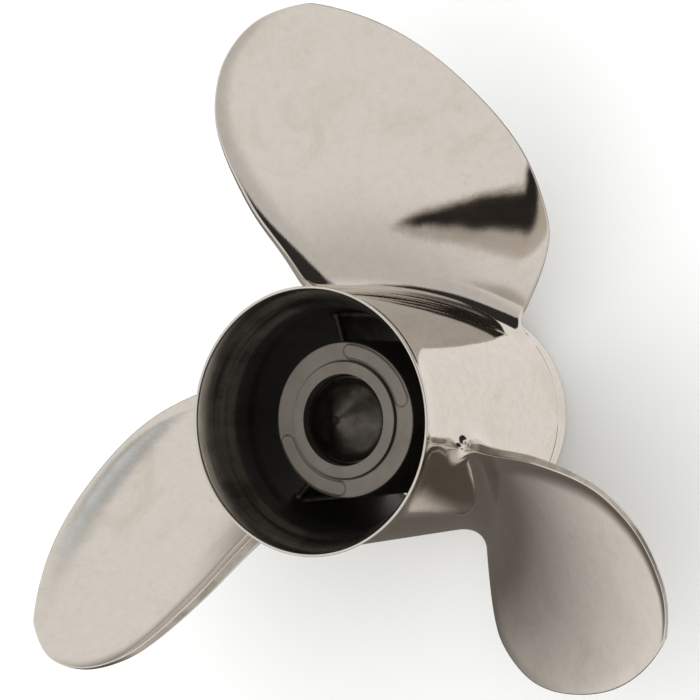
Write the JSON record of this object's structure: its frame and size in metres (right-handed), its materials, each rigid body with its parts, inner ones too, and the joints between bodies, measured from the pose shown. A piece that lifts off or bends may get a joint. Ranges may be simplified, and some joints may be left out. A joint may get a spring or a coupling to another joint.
{
  "type": "outboard boat propeller, three blades, hollow exhaust hub",
  "caption": "Polished stainless boat propeller with cupped blades on a hollow hub with a flared mouth and an inner hub on radial webs.",
  "frame": {"origin": "on the shaft axis, in the plane of the front spigot's end face", "axes": "+Z along the shaft axis towards the aft end; +Y close to the middle of blade 1"},
  "size_m": [0.3277, 0.3024, 0.1587],
  "materials": {
    "polished_steel": "polished",
    "cast_steel": "satin",
    "turned_steel": "satin",
    "rubber": "matte",
    "bronze": "satin"
  },
  "bodies": {
    "root": {"hub_barrel": "polished_steel", "flared_mouth": "polished_steel", "front_spigot": "polished_steel", "inner_hub": "cast_steel", "bore_land": "cast_steel", "cone_plug": "turned_steel", "rubber_bush": "rubber", "drive_sleeve": "bronze", "rib_1": "cast_steel", "rib_2": "cast_steel", "rib_3": "cast_steel", "blade_1": "polished_steel", "blade_2": "polished_steel", "blade_3": "polished_steel"}
  },
  "joints": []
}
